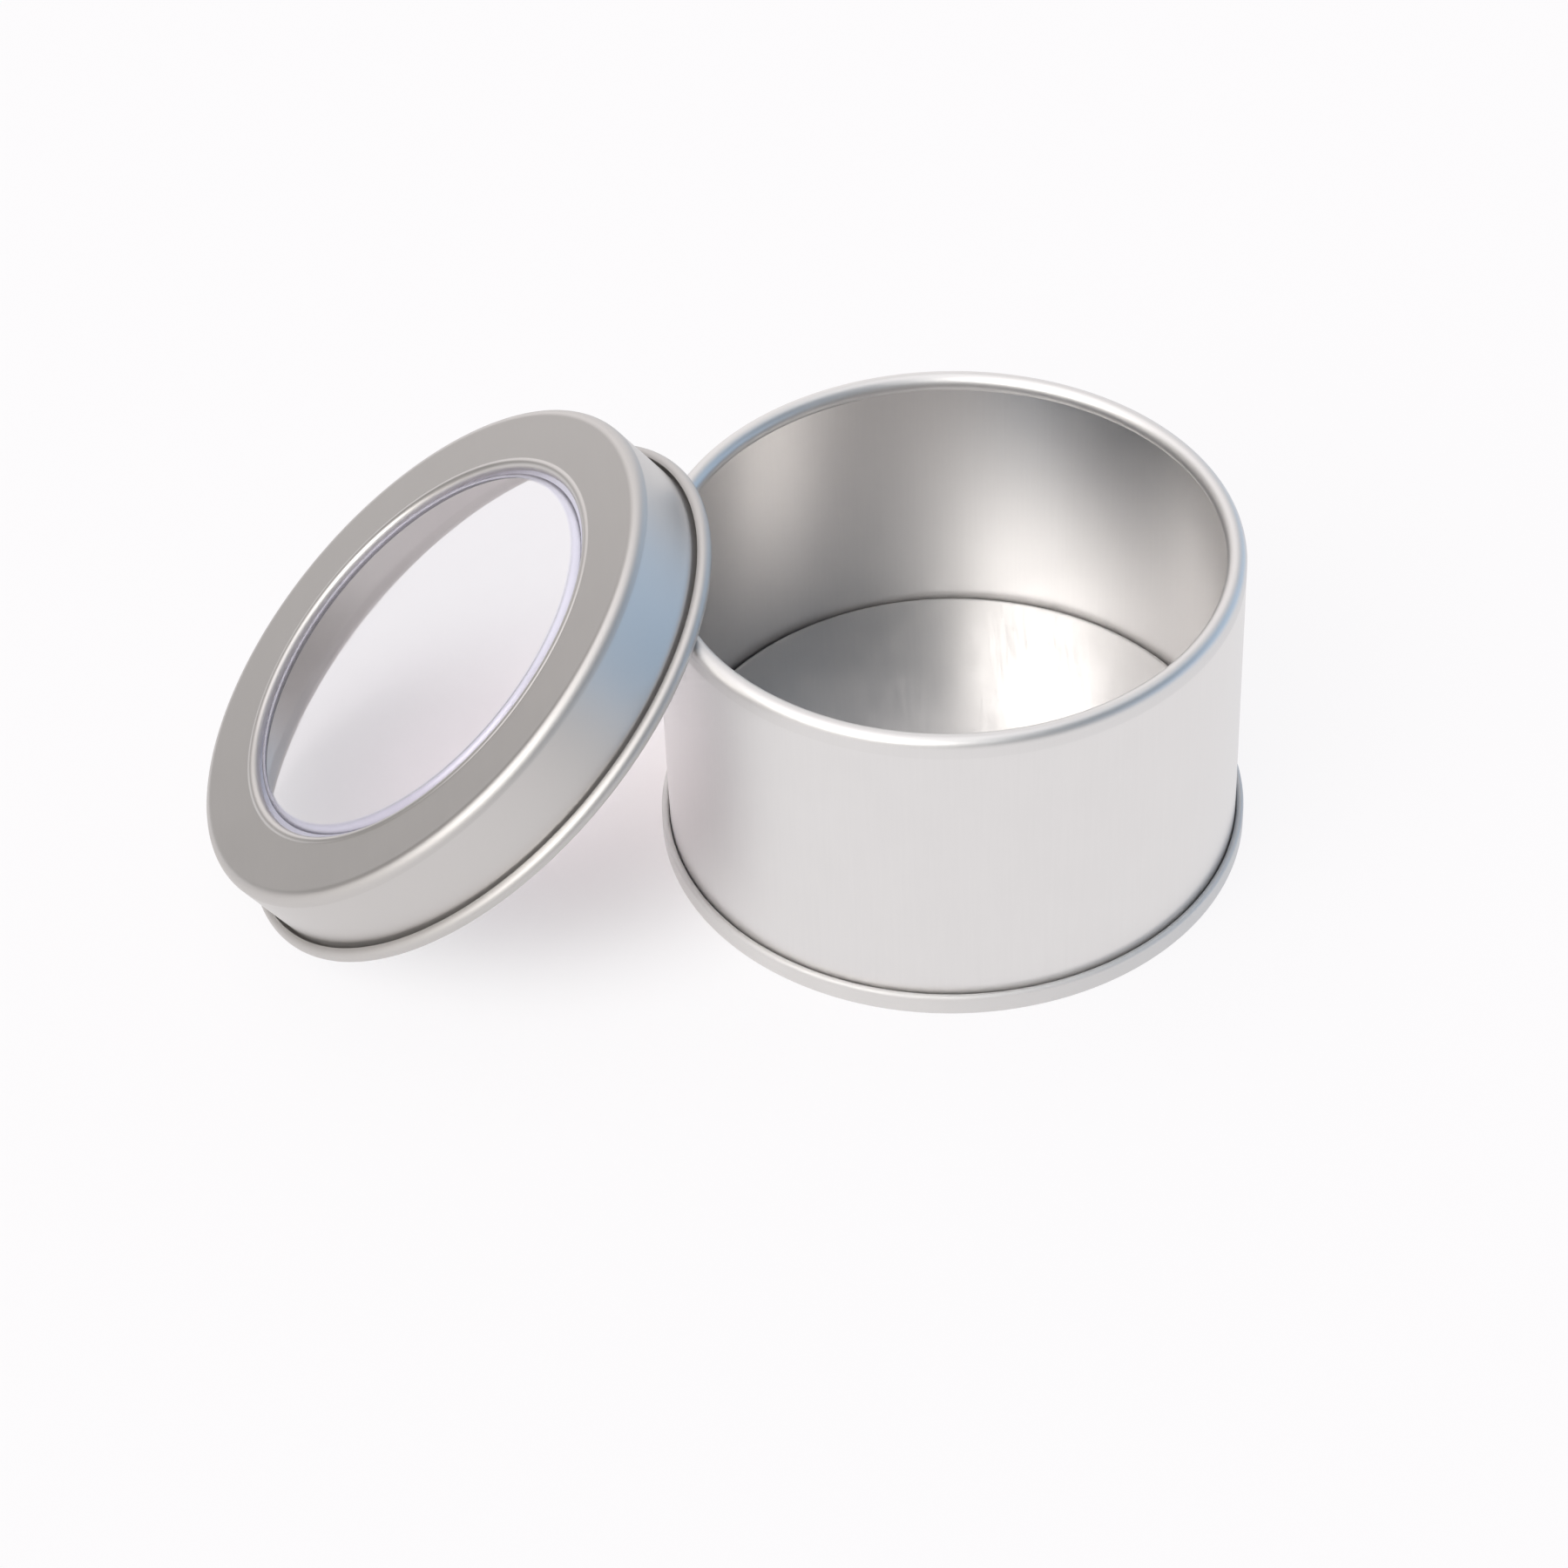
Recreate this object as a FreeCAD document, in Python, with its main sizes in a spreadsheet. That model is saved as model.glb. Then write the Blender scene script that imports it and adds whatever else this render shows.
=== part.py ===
"""Round tinplate tin with a slip-on window lid, the lid leaning on the tin.

Millimetres, +Z up. The origin is on the tin's axis, in the plane that its foot stands on.
Every piece is turned from a sketched section of its sheet, so each section is drawn at the
right hand side of its own axis: X is the radius and Y the height.
"""
import FreeCAD
import Part
import math
import os

import Sketcher

DOC = FreeCAD.newDocument("WindowLidTin")

SIZES = {
    # the tin's rolled wall
    "wall_radius": 37.0,
    "tin_height": 44.6,
    "tin_sheet": 0.25,
    "curl_radius": 1.25,
    "curl_turn": 30.0,
    # the seamed end plate
    "base_sheet": 0.25,
    "seam_height": 3.0,
    "seam_gap": 0.1,
    "seam_bend": 0.5,
    "hook_height": 2.2,
    "floor_height": 6.1,
    "floor_shoulder": 1.1,
    # the lid's metal ring
    "lid_clearance": 0.15,
    "lid_sheet": 0.25,
    "lid_height": 12.4,
    "lid_corner": 1.5,
    "bead_radius": 1.0,
    "bead_turn": 15.0,
    "window_radius": 27.85,
    "window_roll": 0.8,
    "window_lift": 35.0,
    "window_edge": 0.9,
    # the clear window
    "clear_sheet": 0.35,
    "clear_fit": 0.05,
    "edge_room": 0.65,
    "shoulder_width": 1.0,
    "plateau_drop": 0.05,
    "flange_width": 3.0,
    # how the lid leans
    "lean_angle": 37.77,
    "lean_bearing": 182.0,
    "lean_skew": 1.1,
    "rest_gap": 0.15,
}


def make_sheet():
    """Keep the driving dimensions in a spreadsheet, one alias to each."""
    sheet = DOC.addObject("Spreadsheet::Sheet", "Sizes")
    for row, (alias, value) in enumerate(SIZES.items(), start=1):
        sheet.set(f"A{row}", alias)
        sheet.set(f"B{row}", str(value))
        sheet.setAlias(f"B{row}", alias)
    DOC.recompute()
    return sheet


SHEET = make_sheet()


def named(formula):
    """Turn a formula of size names into an expression on the sheet's cells."""
    text = formula
    for alias in sorted(SIZES, key=len, reverse=True):
        text = text.replace(f"<{alias}>", f"Sizes.{alias}")
    return text


def value(formula):
    """The number that a formula of size names gives."""
    return float(SHEET.evalExpression(named(formula)))


class Section:
    """A closed sheet section: corners joined by straight runs and arcs, all bound to the sizes."""

    def __init__(self, body, name):
        self.sketch = body.newObject("Sketcher::SketchObject", name)
        plane = next(f for f in body.Origin.OriginFeatures if f.Role == "XZ_Plane")
        self.sketch.AttachmentSupport = [(plane, "")]
        self.sketch.MapMode = "FlatFace"
        self.corners = []

    def to(self, across, up, arc=None, left=False):
        """Add a corner. An arc is the radius of the stretch that leads to it, turning left or right."""
        self.corners.append((across, up, arc, left))
        return self

    def close(self):
        """Draw the runs, tie them end to end and bind every corner and radius."""
        spots = [FreeCAD.Vector(value(a), value(u), 0) for a, u, _, _ in self.corners]
        ends = []
        for i, (_, _, arc, left) in enumerate(self.corners):
            start, stop = spots[i - 1], spots[i]
            ends.append(self._run(start, stop, arc, left))
        for i, (across, up, arc, _) in enumerate(self.corners):
            run, first, last = ends[i]
            following, next_first, _ = ends[(i + 1) % len(ends)]
            self.sketch.addConstraint(Sketcher.Constraint("Coincident", run, last, following, next_first))
            self._place(run, last, "DistanceX", across, f"across{i}")
            self._place(run, last, "DistanceY", up, f"up{i}")
            if arc:
                radius = self.sketch.Geometry[run].Radius
                index = self.sketch.addConstraint(Sketcher.Constraint("Radius", run, radius))
                self._bind(index, f"radius{i}", arc)
        return self.sketch

    def _run(self, start, stop, arc, left):
        """One straight run or arc. A sketch keeps its arcs anticlockwise, so right turns swap their ends."""
        if not arc:
            return self.sketch.addGeometry(Part.LineSegment(start, stop)), 1, 2
        radius = value(arc)
        chord = stop - start
        half = chord.Length / 2
        side = FreeCAD.Vector(-chord.y, chord.x, 0).normalize()
        rise = math.sqrt(max(radius * radius - half * half, 0))
        centre = start + chord * 0.5 + side * (rise if left else -rise)
        first, last = (start, stop) if left else (stop, start)
        angles = [math.atan2(p.y - centre.y, p.x - centre.x) for p in (first, last)]
        circle = Part.Circle(centre, FreeCAD.Vector(0, 0, 1), radius)
        run = self.sketch.addGeometry(Part.ArcOfCircle(circle, *angles))
        return (run, 1, 2) if left else (run, 2, 1)

    def _place(self, run, end, kind, formula, name):
        """Hold one coordinate of a corner, on the sketch's own axis where it is zero."""
        if formula == "0":
            axis = -2 if kind == "DistanceX" else -1
            self.sketch.addConstraint(Sketcher.Constraint("PointOnObject", run, end, axis))
            return
        index = self.sketch.addConstraint(Sketcher.Constraint(kind, -1, 1, run, end, value(formula)))
        self._bind(index, name, formula)

    def _bind(self, index, name, formula):
        self.sketch.renameConstraint(index, name)
        self.sketch.setExpression(f"Constraints.{name}", named(formula))


def turned(label, outline):
    """A body turned from the section that outline draws, round its own upright axis."""
    body = DOC.addObject("PartDesign::Body", label)
    body.Label = label
    section = Section(body, f"{label}_section")
    outline(section)
    sketch = section.close()
    DOC.recompute()
    turn = body.newObject("PartDesign::Revolution", f"{label}_turn")
    turn.Profile = sketch
    turn.ReferenceAxis = (sketch, ["V_Axis"])
    turn.Angle = 360
    body.Tip = turn
    DOC.recompute()
    return body


# Radii that the two layers of the seam and the lid share, outward from the tin's axis.
WALL_IN = "(<wall_radius> - <tin_sheet>)"
HOOK_IN = "(<wall_radius> + 2 * <seam_gap> + <base_sheet>)"
HOOK_OUT = f"({HOOK_IN} + <tin_sheet>)"
FOLD = f"(({HOOK_OUT} - {WALL_IN}) / 2)"
FOLD_UP = f"(<base_sheet> + <seam_gap> + {FOLD})"
COVER_IN = "(<wall_radius> + <seam_gap>)"
SEAM_OUT = f"({HOOK_OUT} + <seam_gap> + <base_sheet>)"
CHUCK_OUT = f"({WALL_IN} - <seam_gap>)"
CHUCK_IN = f"({CHUCK_OUT} - <base_sheet>)"
SKIRT_IN = "(<wall_radius> + <lid_clearance>)"
SKIRT_OUT = f"({SKIRT_IN} + <lid_sheet>)"
BEAD_RING = f"({SKIRT_IN} + <bead_radius>)"


def wall_section(s):
    """Wall with its foot folded out and up as the seam's inner hook, and an inward curl at the rim."""
    fold_in = f"({FOLD} - <tin_sheet>)"
    fold_mid = f"({WALL_IN} + {FOLD})"
    curl_mid = "(<wall_radius> - <curl_radius>)"
    curl_up = "(<tin_height> - <curl_radius>)"
    curl_in = "(<curl_radius> - <tin_sheet>)"
    s.to(WALL_IN, FOLD_UP)
    s.to(fold_mid, f"{FOLD_UP} - {FOLD}", FOLD, True)
    s.to(HOOK_OUT, FOLD_UP, FOLD, True)
    s.to(HOOK_OUT, "<hook_height>")
    s.to(HOOK_IN, "<hook_height>")
    s.to(HOOK_IN, FOLD_UP)
    s.to(fold_mid, f"{FOLD_UP} - {fold_in}", fold_in)
    s.to("<wall_radius>", FOLD_UP, fold_in)
    s.to("<wall_radius>", curl_up)
    s.to(curl_mid, "<tin_height>", "<curl_radius>", True)
    s.to(f"{curl_mid} - <curl_radius>", curl_up, "<curl_radius>", True)
    s.to(curl_mid, f"{curl_up} - <curl_radius>", "<curl_radius>", True)
    s.to(f"{curl_mid} + <curl_radius> * sin(<curl_turn>)",
         f"{curl_up} - <curl_radius> * cos(<curl_turn>)", "<curl_radius>", True)
    s.to(f"{curl_mid} + {curl_in} * sin(<curl_turn>)", f"{curl_up} - {curl_in} * cos(<curl_turn>)")
    s.to(curl_mid, f"{curl_up} - {curl_in}", curl_in)
    s.to(f"{curl_mid} - {curl_in}", curl_up, curl_in)
    s.to(curl_mid, f"{curl_up} + {curl_in}", curl_in)
    s.to(WALL_IN, curl_up, curl_in)


def base_section(s):
    """Raised floor, its wall down inside the tin, the flat foot, and the seam rolled over the hook."""
    bend_in = "(<seam_bend> - <base_sheet>)"
    shoulder_in = "(<floor_shoulder> - <base_sheet>)"
    shoulder_mid = f"({CHUCK_OUT} - <floor_shoulder>)"
    shoulder_up = "(<floor_height> - <floor_shoulder>)"
    roll = f"(({SEAM_OUT} - {COVER_IN}) / 2)"
    roll_in = f"({roll} - <base_sheet>)"
    roll_mid = f"({COVER_IN} + {roll})"
    roll_up = f"(<seam_height> - {roll})"
    cover_foot = "(<base_sheet> + <tin_sheet> + 3 * <seam_gap>)"
    s.to("0", "<floor_height>")
    s.to("0", "<floor_height> - <base_sheet>")
    s.to(shoulder_mid, "<floor_height> - <base_sheet>")
    s.to(CHUCK_IN, shoulder_up, shoulder_in)
    s.to(CHUCK_IN, "<seam_bend>")
    s.to(f"{CHUCK_IN} + <seam_bend>", "0", "<seam_bend>", True)
    s.to(f"{SEAM_OUT} - <seam_bend>", "0")
    s.to(SEAM_OUT, "<seam_bend>", "<seam_bend>", True)
    s.to(SEAM_OUT, roll_up)
    s.to(roll_mid, "<seam_height>", roll, True)
    s.to(COVER_IN, roll_up, roll, True)
    s.to(COVER_IN, cover_foot)
    s.to(f"{COVER_IN} + <base_sheet>", cover_foot)
    s.to(f"{COVER_IN} + <base_sheet>", roll_up)
    s.to(roll_mid, f"{roll_up} + {roll_in}", roll_in)
    s.to(f"{roll_mid} + {roll_in}", roll_up, roll_in)
    s.to(f"{SEAM_OUT} - <base_sheet>", "<seam_bend>")
    s.to(f"{SEAM_OUT} - <seam_bend>", "<base_sheet>", bend_in)
    s.to(f"{CHUCK_IN} + <seam_bend>", "<base_sheet>")
    s.to(CHUCK_OUT, "<seam_bend>", bend_in)
    s.to(CHUCK_OUT, shoulder_up)
    s.to(shoulder_mid, "<floor_height>", "<floor_shoulder>", True)


def lid_section(s):
    """Flat top, a low raised edge turned down round the window, a round corner, the skirt and a curled bead."""
    corner_mid = f"({SKIRT_OUT} - <lid_corner>)"
    corner_up = "(<lid_height> - <lid_corner>)"
    corner_in = "(<lid_corner> - <lid_sheet>)"
    roll_mid = "(<window_radius> + <window_roll>)"
    roll_up = "(<lid_height> - <window_roll> * cos(<window_lift>))"
    roll_in = "(<window_roll> - <lid_sheet>)"
    roll_end = f"({roll_mid} + <window_roll> * sin(<window_lift>))"
    under_end = f"({roll_mid} + sqrt({roll_in}^2 - (<lid_height> - <lid_sheet> - {roll_up})^2))"
    edge_in = "(<window_radius> + <lid_sheet>)"
    edge_foot = "(<lid_height> - <window_edge>)"
    bead_in = "(<bead_radius> - <lid_sheet>)"
    s.to(SKIRT_OUT, corner_up)
    s.to(corner_mid, "<lid_height>", "<lid_corner>", True)
    s.to(roll_end, "<lid_height>")
    s.to(roll_mid, f"{roll_up} + <window_roll>", "<window_roll>", True)
    s.to("<window_radius>", roll_up, "<window_roll>", True)
    s.to("<window_radius>", edge_foot)
    s.to(edge_in, edge_foot)
    s.to(edge_in, roll_up)
    s.to(roll_mid, f"{roll_up} + {roll_in}", roll_in)
    s.to(under_end, "<lid_height> - <lid_sheet>", roll_in)
    s.to(corner_mid, "<lid_height> - <lid_sheet>")
    s.to(SKIRT_IN, corner_up, corner_in)
    s.to(SKIRT_IN, "<bead_radius>")
    s.to(BEAD_RING, "0", "<bead_radius>", True)
    s.to(f"{BEAD_RING} + <bead_radius>", "<bead_radius>", "<bead_radius>", True)
    s.to(BEAD_RING, "2 * <bead_radius>", "<bead_radius>", True)
    s.to(f"{BEAD_RING} - <bead_radius> * sin(<bead_turn>)",
         "<bead_radius> + <bead_radius> * cos(<bead_turn>)", "<bead_radius>", True)
    s.to(f"{BEAD_RING} - {bead_in} * sin(<bead_turn>)", f"<bead_radius> + {bead_in} * cos(<bead_turn>)")
    s.to(BEAD_RING, f"<bead_radius> + {bead_in}", bead_in)
    s.to(f"{BEAD_RING} + {bead_in}", "<bead_radius>", bead_in)
    s.to(BEAD_RING, "<lid_sheet>", bead_in)
    s.to(SKIRT_OUT, "<bead_radius>", bead_in)


def window_section(s):
    """Clear formed sheet: a plateau in the opening, its round shoulder, and a flange under the metal edge."""
    plateau_up = "(<lid_height> - <plateau_drop>)"
    flange_up = "(<lid_height> - <window_edge> - <clear_fit>)"
    flange_out = "(<window_radius> + <flange_width>)"
    rise = f"({plateau_up} - {flange_up})"
    root = "(<window_radius> - <edge_room>)"
    plateau = f"({root} - <shoulder_width>)"
    shoulder = f"((<shoulder_width>^2 + {rise}^2) / (2 * {rise}))"
    shoulder_in = f"({shoulder} - <clear_sheet>)"
    root_in = f"({plateau} + sqrt({shoulder_in}^2 - ({shoulder} - {rise} - <clear_sheet>)^2))"
    s.to("0", plateau_up)
    s.to("0", f"{plateau_up} - <clear_sheet>")
    s.to(plateau, f"{plateau_up} - <clear_sheet>")
    s.to(root_in, f"{flange_up} - <clear_sheet>", shoulder_in)
    s.to(flange_out, f"{flange_up} - <clear_sheet>")
    s.to(flange_out, flange_up)
    s.to(root, flange_up)
    s.to(plateau, plateau_up, shoulder, True)


def lean():
    """Where the lid lies: slid in along the ground at its lean until its bead all but meets the tin."""
    bead = value("<bead_radius>")
    ring = value(BEAD_RING)
    wall = value("<wall_radius>")
    curl = value("<curl_radius>")
    curl_up = value("<tin_height> - <curl_radius>")
    rest = value("<rest_gap>")
    upright = FreeCAD.Vector(0, 0, 1)
    turn = FreeCAD.Rotation(upright, value("<lean_bearing> + <lean_skew>"))
    turn = turn * FreeCAD.Rotation(FreeCAD.Vector(0, 1, 0), value("<lean_angle>"))
    away = FreeCAD.Rotation(upright, value("<lean_bearing>")).multVec(FreeCAD.Vector(1, 0, 0))
    low = FreeCAD.Vector(ring, 0, 0)
    steps = 1440
    spots = []
    for k in range(steps):
        around = FreeCAD.Rotation(upright, 360 * k / steps).multVec(low)
        spots.append(turn.multVec(around - low))

    def foot(reach):
        """Middle of the bead where it is lowest."""
        return away * reach + upright * (bead + rest)

    def room(reach):
        """Least distance from the bead to the tin's rim and wall, with the lid's foot at this reach."""
        least = math.inf
        for spot in spots:
            middle = foot(reach) + spot
            out = math.hypot(middle.x, middle.y)
            if middle.z > curl_up:
                near = math.hypot(out - (wall - curl), middle.z - curl_up) - curl
            else:
                near = out - wall
            least = min(least, near - bead)
        return least

    inner, outer = wall, wall + 3 * ring
    for _ in range(steps // 24):
        middle = (inner + outer) / 2
        if room(middle) > rest:
            outer = middle
        else:
            inner = middle
    return FreeCAD.Placement(foot(outer) - turn.multVec(FreeCAD.Vector(ring, 0, bead)), turn)


def main():
    leaning = lean()
    upright = FreeCAD.Placement()
    pieces = [
        (turned("tin_wall", wall_section), upright),
        (turned("base_plate", base_section), upright),
        (turned("lid_ring", lid_section), leaning),
        (turned("lid_window", window_section), leaning),
    ]
    for body, place in pieces:
        body.Placement = place
    DOC.recompute()
    for thing in DOC.Objects:
        if "Invalid" in thing.State or "Error" in thing.State:
            raise RuntimeError(f"{thing.Label} failed: {thing.State}")
    os.makedirs("parts", exist_ok=True)
    for body, _ in pieces:
        if body.Shape.isNull() or not body.Shape.isValid():
            raise RuntimeError(f"{body.Label} has no sound shape")
        body.Shape.exportStep(f"parts/{body.Label}.step")
        box = body.Shape.BoundBox
        print(body.Label, len(body.Shape.Solids), round(body.Shape.Volume, 2),
              [round(v, 3) for v in (box.XMin, box.YMin, box.ZMin, box.XMax, box.YMax, box.ZMax)])
    print("lid placed at", leaning)


main()
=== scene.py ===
"""Window lid tin: its finished pieces, materials and studio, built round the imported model.

Metres, +Z up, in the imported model's own frame. Each piece is turned from the section of its sheet by one
Geometry Nodes tree, and stands for the solid of the same section.
"""
import math

import bpy
from bpy.props import FloatProperty, FloatVectorProperty, IntProperty, PointerProperty
from mathutils import Euler, Matrix, Vector


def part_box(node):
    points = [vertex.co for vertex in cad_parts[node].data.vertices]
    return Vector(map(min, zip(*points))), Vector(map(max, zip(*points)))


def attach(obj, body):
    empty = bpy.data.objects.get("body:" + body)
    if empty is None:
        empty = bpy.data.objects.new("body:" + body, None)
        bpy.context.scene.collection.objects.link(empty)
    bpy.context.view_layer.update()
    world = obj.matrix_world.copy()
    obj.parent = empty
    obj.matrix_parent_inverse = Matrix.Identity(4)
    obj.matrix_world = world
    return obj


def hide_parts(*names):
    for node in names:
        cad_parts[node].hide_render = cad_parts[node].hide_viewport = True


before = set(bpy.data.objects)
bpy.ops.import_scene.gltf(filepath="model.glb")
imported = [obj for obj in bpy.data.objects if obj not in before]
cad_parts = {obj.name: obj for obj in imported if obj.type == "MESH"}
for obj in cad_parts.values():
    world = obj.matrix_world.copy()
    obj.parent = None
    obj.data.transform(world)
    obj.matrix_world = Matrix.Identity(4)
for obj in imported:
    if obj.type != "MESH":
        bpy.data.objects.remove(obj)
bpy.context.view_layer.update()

bl_info = {
    "name": "Window Lid Tin",
    "version": (1, 0, 0),
    "blender": (4, 5, 0),
    "location": "View3D > Sidebar > Window Tin",
    "description": "Round tinplate tin with a slip-on window lid that leans on its rim",
    "category": "Object",
}

MM = 0.001
# Flat runs get support points only from this many times the support distance on.
SUPPORTED_RUN = 3
# Points closer than this share of the support distance are one point.
WELD_SHARE = 0.05
# Edges that turn more than this are shaded sharp.
SHARP_ANGLE = math.radians(40)
# Share of plain white painted over the floor where it is seen, a glow that lightens its shadows: at the fixed
# spot of painted shade, and well away from it.
PAINTED_WHITE_NEAR = 0.06
PAINTED_WHITE_FAR = 0.9
FLOOR_CORNERS = 64
# Sockets of a colour Mix node, whose names aren't unique.
MIX_SHARE, MIX_FIRST, MIX_SECOND, MIX_COLOUR = 0, 6, 7, 2


def linear(code):
    """Linear colour of an sRGB hex code."""
    parts = [int(code[i:i + 2], 16) / 255 for i in (1, 3, 5)]
    return [c / 12.92 if c <= 0.04045 else ((c + 0.055) / 1.055) ** 2.4 for c in parts]


def length(name, description, millimetres):
    """A length that a user can change, given in millimetres and kept in metres."""
    return FloatProperty(name=name, description=description, default=millimetres * MM,
                         min=0, precision=5, subtype="DISTANCE", unit="LENGTH")


def angle(name, description, degrees):
    """An angle that a user can change, given in degrees and kept in radians."""
    return FloatProperty(name=name, description=description, default=math.radians(degrees),
                         subtype="ANGLE", unit="ROTATION")


def colour(name, description, code):
    """A colour that a user can change, given as an sRGB hex code and kept linear."""
    return FloatVectorProperty(name=name, description=description, default=linear(code),
                               size=3, min=0, max=1, subtype="COLOR")


class TinSizes(bpy.types.PropertyGroup):
    """The rolled wall and the end plate that is seamed to it."""
    wall_radius: length("Wall radius", "Outside of the rolled wall", 37.0)
    height: length("Height", "From the foot to the top of the rim", 44.6)
    sheet: length("Sheet", "Thickness of the tinplate", 0.25)
    curl_radius: length("Curl radius", "Outside of the rim's inward curl", 1.25)
    curl_turn: angle("Curl turn", "How far the curl goes on past its lowest point", 30.0)
    seam_height: length("Seam height", "Of the rolled seam round the foot", 3.0)
    seam_gap: length("Seam gap", "Between the layers of the seam", 0.1)
    seam_bend: length("Seam bend", "Radius of the seam's lower edges", 0.5)
    hook_height: length("Hook height", "Top of the wall's hook inside the seam", 2.2)
    floor_height: length("Floor height", "Upper side of the raised floor", 6.1)
    floor_shoulder: length("Floor shoulder", "Radius of the floor's edge", 1.1)


class LidSizes(bpy.types.PropertyGroup):
    """The pressed metal ring of the lid, and how it leans."""
    clearance: length("Clearance", "Between the tin's wall and the skirt", 0.15)
    sheet: length("Sheet", "Thickness of the tinplate", 0.25)
    height: length("Height", "From the bead's foot to the flat top", 12.4)
    corner: length("Corner", "Radius between the top and the skirt", 1.5)
    bead_radius: length("Bead radius", "Outside of the outward curled bead", 1.0)
    bead_turn: angle("Bead turn", "How far the bead goes on past its highest point", 15.0)
    window_radius: length("Window radius", "Of the opening in the top", 27.85)
    window_roll: length("Window roll", "Radius of the opening's turned down edge", 0.8)
    window_lift: angle("Window lift", "Slope at which the opening's edge rises from the flat top", 35.0)
    window_edge: length("Window edge", "Depth of the opening's turned down edge", 0.9)
    lean_angle: angle("Lean angle", "Between the lid and the ground", 37.77)
    lean_bearing: angle("Lean bearing", "Where the lid's foot is, round the tin", 182.0)
    lean_skew: angle("Lean skew", "How far the lid is swung beyond its foot's bearing", 1.1)


class WindowSizes(bpy.types.PropertyGroup):
    """The clear formed sheet in the lid's opening."""
    sheet: length("Sheet", "Thickness of the clear sheet", 0.35)
    fit: length("Fit", "Between the clear sheet and the metal", 0.05)
    edge_room: length("Edge room", "From the metal edge to the foot of the shoulder", 0.65)
    shoulder_width: length("Shoulder width", "Of the round shoulder up to the plateau", 1.0)
    plateau_drop: length("Plateau drop", "Of the plateau below the lid's flat top", 0.05)
    flange_width: length("Flange width", "Of the flange beyond the opening", 3.0)


class Finishes(bpy.types.PropertyGroup):
    """Colours of the materials, and how finely the pieces are turned."""
    tin_coat: colour("Tin coat", "Reflection of the bright tin coat", "#E1DFDE")
    # Painted shade: the lid is the same tinplate as the tin, but its coat is set darker, so that it mirrors
    # its surroundings as if they lay in deeper shade.
    lid_coat_painted_shade: colour("Lid coat", "Reflection of the lid's tin coat", "#CDCAC8")
    clear_sheet: colour("Clear sheet", "Tint of the window", "#FDFCFD")
    clear_bend: colour("Clear bend", "Tint of the window's shoulder and flange", "#EEEDFA")
    turning_steps: IntProperty(name="Turning steps", description="Faces round a turned piece",
                               default=288, min=24)
    arc_step: angle("Arc step", "Between the points of a round stretch", 9.0)
    hold: length("Hold", "Distance of a flat run's support points from its ends", 0.12)


class Studio(bpy.types.PropertyGroup):
    """Camera, floor and surroundings."""
    view_down: angle("View down", "Slope of the camera's view", 42.18)
    view_roll: angle("View roll", "Roll of the camera", -2.56)
    view_distance: length("View distance", "From the camera to the tin's foot", 572.75)
    aim_left: length("Aim left", "How far the view's middle is left of the tin's foot", 22.09)
    aim_up: length("Aim up", "How far the view's middle is above the tin's foot", 3.32)
    lens: FloatProperty(name="Lens", description="Focal length on a 36 mm sensor", default=100.0,
                        subtype="DISTANCE_CAMERA", unit="CAMERA")
    floor_radius: length("Floor radius", "Of the pale floor", 30000.0)
    floor_paint: colour("Floor paint", "Of the pale floor", "#E5E0E1")
    # Painted light: a white glow painted over the floor where it is seen, which lightens its shadows.
    floor_painted_white: colour("Floor white", "Of the floor where it is all but white", "#FEFDFE")
    # Painted shade: a fixed spot under the leaning lid where little white is painted, so the darker board and
    # the real shadow show there; it stays put when the lid moves.
    shade_left: length("Shade left", "From the tin's axis to the middle of the deepest shade", 52.0)
    shade_back: length("Shade back", "How far that middle is behind the tin's axis", 8.0)
    shade_radius: length("Shade radius", "Of the floor round there that keeps its shade", 11.0)
    white_radius: length("White radius", "From there to where the floor is all but white", 47.0)
    surroundings: colour("Surroundings", "Grey of the room that the metal mirrors", "#AFACA9")


class WindowTin(bpy.types.PropertyGroup):
    """All settings of the window lid tin."""
    tin: PointerProperty(type=TinSizes)
    lid: PointerProperty(type=LidSizes)
    window: PointerProperty(type=WindowSizes)
    finishes: PointerProperty(type=Finishes)
    studio: PointerProperty(type=Studio)


def add_node(tree, kind, settings=None, inputs=None):
    """Add a node with its settings. An input gets a value, or a link if it is given a socket."""
    node = tree.nodes.new(kind)
    node.location.x = len(tree.nodes) * 200
    for name, value in (settings or {}).items():
        setattr(node, name, value)
    for name, value in (inputs or {}).items():
        if isinstance(value, bpy.types.NodeSocket):
            tree.links.new(value, node.inputs[name])
        else:
            node.inputs[name].default_value = value
    return node


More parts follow.
